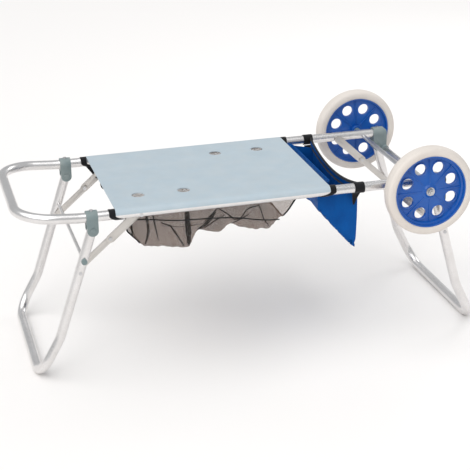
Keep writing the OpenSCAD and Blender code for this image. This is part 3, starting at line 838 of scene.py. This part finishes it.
def foldShadeBand(tree, route, width, side):
    # a narrow band of painted shade over a fold: denser net in near-black that lies on the outside
    # of the bag and tapers at its ends
    lengths = [math.dist(a, b) for a, b in zip(route, route[1:])]
    total = sum(lengths)

    def along(t):
        run = t * total
        for a, b, length in zip(route, route[1:], lengths):
            if run <= length + 1e-9:
                w = run / length
                return a[0] + (b[0] - a[0]) * w, a[1] + (b[1] - a[1]) * w
            run -= length
        return route[-1]

    def place(u, v):
        x, z = along(u)
        ahead, behind = along(min(1, u + 0.04)), along(max(0, u - 0.04))
        run = Vector((ahead[0] - behind[0], ahead[1] - behind[1])).normalized()
        wide = width * (0.55 + 0.45 * math.sin(math.pi * u)) * (
            1 + 0.3 * noise.noise(Vector((u * total * 90, route[0][0] * 40, 2))))
        x -= run.y * (v - 0.5) * wide
        z += run.x * (v - 0.5) * wide
        for lift in range(16):
            # a point that would pass the bag's lower edge is drawn up onto it
            hit = tree.ray_cast(Vector((x, side * 0.2, z)), Vector((0, -side, 0)))[0]
            if hit and abs(hit.y) > 0.1:
                break
            z += 0.003
        y = hit.y if hit and abs(hit.y) > 0.1 else side * (netHigh.y - 0.004)
        return Vector((x, y + side * (0.0006 + 0.0006 * math.sin(math.pi * v)), z))

    return gridSheet(max(6, round(total / 0.004)), 4, place, (total, width))


def makeNet():
    columns, rows = net["columns"], net["rows"]
    cloth = gridSheet(columns, rows, netPlace, net["patternSpan"])
    stride = columns + 1
    at = {}
    for vert in cloth.data.vertices:
        at[divmod(vert.index, stride)[::-1]] = vert.index
    pins = [at[i, j] for i in range(columns + 1) for j in (0, rows)]
    start = [v.co.copy() for v in cloth.data.vertices]
    runCloth(cloth, pins, net["frames"], net["slack"])
    for vert, home in zip(cloth.data.vertices, start):
        # the bag keeps to its room: a short travel, never past its sides
        step = vert.co - home
        if step.length > net["travel"]:
            step *= net["travel"] / step.length
        co = home + step
        co.y = max(netLow.y + 0.0005, min(netHigh.y - 0.0005, co.y))
        co.z = max(netLow.z + 0.0005, min(netHigh.z - 0.0005, co.z))
        vert.co = co
    cloth.data.update()
    print("net area", round(meshArea(cloth), 4))
    spots = {key: cloth.data.vertices[i].co.copy() for key, i in at.items()}
    trim = []
    for word, i in (("handle", 0), ("wheel", columns)):
        points = [spots[i, j] for j in range(0, rows + 1, 2)]
        trim.append((f"netHem_{word}", points, net["hemRadius"]))
    for word, side in (("near", -1), ("far", 1)):
        # drawcord along the outside of the bag, lower at the wheel end
        points = []
        for k in range(13):
            i = round((0.02 + 0.92 * k / 12) * columns)
            share = 0.06 + 0.09 * k / 12
            j = round(share * rows) if side < 0 else rows - round(share * rows)
            spot = spots[i, j].copy()
            spot.y = side * (netHigh.y - 0.0002)
            points.append(spot)
        for k in range(2):
            points = [points[0]] + [(a + 2 * b + c) / 4 for a, b, c in
                                    zip(points, points[1:], points[2:])] + [points[-1]]
        trim.append((f"netDrawcord_{word}", points, net["cordRadius"]))
    tree = BVHTree.FromObject(cloth, bpy.context.evaluated_depsgraph_get())
    bands = []
    for side, word in ((-1, "near"), (1, "far")):
        for number, (route, width) in enumerate(net["folds"]):
            if side > 0 and number % 2:
                continue
            bands.append((f"netFoldShade_{word}_{number}", foldShadeBand(tree, route, width, side)))
    smooth(cloth, 180)
    finishPiece(cloth, "netBag", "frame", looks["net"], ("storage_net",))
    # the fold bands take the near-black net, as painted shade
    parts = [finishPiece(band, name, "frame", looks["fold"])
             for name, band in bands]
    for name, points, radius in trim:
        cord = cordAlong(points, radius)
        smooth(cord, 60)
        parts.append(finishPiece(cord, name, "frame", looks["webbing"]))


makeNet()
print("net finished")


pouch = {"around": 96, "levels": 40, "frames": 30, "slack": 0.03, "thick": 0.0012,
         "travel": 0.005, "sag": 0.024,
         "cutSize": (0.86, 0.19), "cutArea": 0.12, "frontInset": 0.035, "rearDrop": 0.022}
pouchLow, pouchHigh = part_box("rear_pouch")


def pouchPlace(u, v):
    # v goes from the open top to the tip; u goes round: front, near side, rear, far side
    half = (pouchHigh.y - pouchLow.y) / 2 - 0.002
    width = 2 * half
    top, tip = pouchHigh.z - 0.004, pouchLow.z - 0.012
    knee = 0.36
    frontX = pouchLow.x + 0.016 + 0.089 * max(0.0, (v - knee) / (1 - knee))
    rearX = pouchHigh.x - 0.002 - 0.004 * v ** 2
    deep = max(0.0015, rearX - frontX)
    girth = 2 * (width + deep)
    run = u * girth
    z = top + (tip - top) * v
    if run < width:
        x, y = frontX, half - run
    elif run < width + deep:
        x, y = frontX + (run - width), -half
    elif run < 2 * width + deep:
        x, y = rearX, -half + (run - width - deep)
    else:
        x, y = rearX - (run - 2 * width - deep), half
    # the rear edge hangs in a shallow curve between the rails
    toRear = max(0.0, min(1.0, (x - frontX) / deep))
    middle = 1 - (y / half) ** 2
    z -= (pouch["sag"] * middle * toRear + pouch["rearDrop"] * toRear) * (1 - v)
    # the front hangs from the table's end, and only its sides reach under the table
    inward = min(1.0, (half - abs(y)) / 0.022)
    inward = inward * inward * (3 - 2 * inward)
    x += pouch["frontInset"] * inward * (1 - toRear) * (1 - v) ** 0.7
    return Vector((x, y, z))


def makePouch():
    around, levels = pouch["around"], pouch["levels"]
    bag = gridSheet(around, levels, pouchPlace, pouch["cutSize"])
    stride = around + 1
    start = [v.co.copy() for v in bag.data.vertices]
    makeActive(bag)
    bpy.ops.object.mode_set(mode="EDIT")
    bpy.ops.mesh.select_all(action="SELECT")
    bpy.ops.mesh.remove_doubles(threshold=1e-5)
    bpy.ops.mesh.normals_make_consistent(inside=False)
    bpy.ops.object.mode_set(mode="OBJECT")
    pins = [v.index for v in bag.data.vertices
            if v.co.z < pouchLow.z - 0.008 or any(
                (v.co - start[k]).length < 1e-5 for k in range(stride))]
    start = [v.co.copy() for v in bag.data.vertices]
    runCloth(bag, pins, pouch["frames"], pouch["slack"], gravity=0.6, stiff=14,
             bend=0.6, mass=0.25)
    for vert, home in zip(bag.data.vertices, start):
        step = vert.co - home
        if step.length > pouch["travel"]:
            step *= pouch["travel"] / step.length
        co = home + step
        co.y = max(pouchLow.y, min(pouchHigh.y, co.y))
        vert.co = co
    bag.data.update()
    print("pouch area", round(meshArea(bag), 4))
    useModifier(bag, "SOLIDIFY", thickness=pouch["thick"], offset=-1)
    smooth(bag, 50)
    finishPiece(bag, "pouchBag", "frame", looks["fabric"], ("rear_pouch",))


makePouch()
print("pouch finished")


strap = {"thick": 0.0014, "lift": 0.00015}


def makeSleeve(node, side, skew):
    # a band of webbing round the rail; skew slides its lower half along the rail
    low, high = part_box(node)
    if node == "pouch_band":
        x0, x1 = high.x - 0.023, high.x
    else:
        x0, x1 = low.x, high.x
    railLow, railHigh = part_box("front_strap_left")
    centreY = (railLow.y + railHigh.y) / 2 * side
    centreZ = (railLow.z + railHigh.z) / 2
    radius = (railHigh.z - railLow.z) / 2 - strap["thick"]
    length = math.tau * radius

    def place(u, v):
        turn = math.tau * v
        ripple = 0.00025 * noise.noise(Vector((u * 3, math.cos(turn) * 2,
                                               math.sin(turn) * 2 + x0 * 50)))
        r = radius + strap["lift"] + max(0, ripple)
        under = max(0.0, 1 - abs(turn - math.pi) / 1.65)
        slide = skew * under * under * (3 - 2 * under)
        return Vector((x0 + (x1 - x0) * u + slide, centreY + r * math.sin(turn),
                       centreZ + r * math.cos(turn)))

    band = gridSheet(8, 48, place, (x1 - x0, length))
    makeActive(band)
    bpy.ops.object.mode_set(mode="EDIT")
    bpy.ops.mesh.select_all(action="SELECT")
    bpy.ops.mesh.remove_doubles(threshold=1e-5)
    bpy.ops.mesh.normals_make_consistent(inside=False)
    bpy.ops.object.mode_set(mode="OBJECT")
    useModifier(band, "SOLIDIFY", thickness=strap["thick"], offset=1)
    useModifier(band, "BEVEL", width=0.0004, segments=2, limit_method="ANGLE",
                angle_limit=math.radians(50))
    smooth(band, 60)
    return band


for word, side in (("left", 1), ("right", -1)):
    for end, skew in (("front", 0.019), ("rear", -0.024)):
        node = f"{end}_strap_{word}"
        band = makeSleeve(node, side, skew)
        finishPiece(band, node + "_shown", "frame", looks["webbing"], (node,))
    band = makeSleeve("pouch_band", side, 0.0)
    finishPiece(band, f"pouchSleeve_{word}", "frame", looks["webbing"],
                ("pouch_band",) if side > 0 else ())


def makeBand():
    low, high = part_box("pouch_band")
    railLow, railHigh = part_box("front_strap_left")
    half = railLow.y + 0.0012
    x = pouchHigh.x - 0.0028
    parts = {
        "pouchTapeTop": (-0.0035, 0.007, 0.0024, "webbing"),
        "pouchTapeLow": (-0.0215, 0.007, 0.0028, "webbing"),
        "pouchHem": (-0.0125, 0.016, 0.0012, "fabric"),
    }
    for name, (drop, height, thick, look) in parts.items():
        def place(u, v):
            y = (2 * u - 1) * half
            middle = 1 - (y / half) ** 2
            twist = 0.35 * middle
            z = 0.384 + drop - pouch["sag"] * middle + (v - 0.5) * height
            return Vector((x - 0.004 * middle - (drop + (v - 0.5) * height) * twist * 0.6,
                           y, z))
        tape = gridSheet(60, 4, place, (2 * half, height))
        useModifier(tape, "SOLIDIFY", thickness=thick, offset=0)
        useModifier(tape, "BEVEL", width=0.0004, segments=2, limit_method="ANGLE",
                    angle_limit=math.radians(50))
        smooth(tape, 60)
        finishPiece(tape, name, "frame", looks[look])


def makeTab(side):
    # loose end of webbing that hangs from a pouch sleeve beside the bag
    low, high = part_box("pouch_band")
    railLow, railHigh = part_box("front_strap_left")

    def place(u, v):
        wide = 0.022 * (1 - 0.85 * v)
        return Vector((high.x - 0.0225 + 0.003 * v + wide * u,
                       side * (railLow.y + 0.003 - 0.005 * math.sin(2.2 * v)),
                       railLow.z + 0.001 - 0.034 * v))

    tab = gridSheet(8, 12, place, (0.022, 0.034))
    useModifier(tab, "SOLIDIFY", thickness=0.0014, offset=0)
    smooth(tab, 60)
    finishPiece(tab, "pouchTab_left" if side > 0 else "pouchTab_right", "frame",
                looks["webbing"])


makeBand()
makeTab(1)
makeTab(-1)


def makeTail(word, side):
    # slanted end of a front strap where it is sewn to the net's corner
    low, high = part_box(f"front_strap_{word}")

    def place(u, v):
        wide = (high.x - low.x) * (1 - 0.6 * v)
        return Vector((low.x + 0.012 + 0.022 * v + wide * u,
                       side * (low.y + 0.004 - 0.006 * v), low.z + 0.003 - 0.03 * v))

    tail = gridSheet(8, 12, place, (high.x - low.x, 0.03))
    useModifier(tail, "SOLIDIFY", thickness=0.0016, offset=0)
    smooth(tail, 60)
    finishPiece(tail, f"netCorner_{word}", "frame", looks["webbing"])


makeTail("left", 1)
makeTail("right", -1)
print("webbing finished")
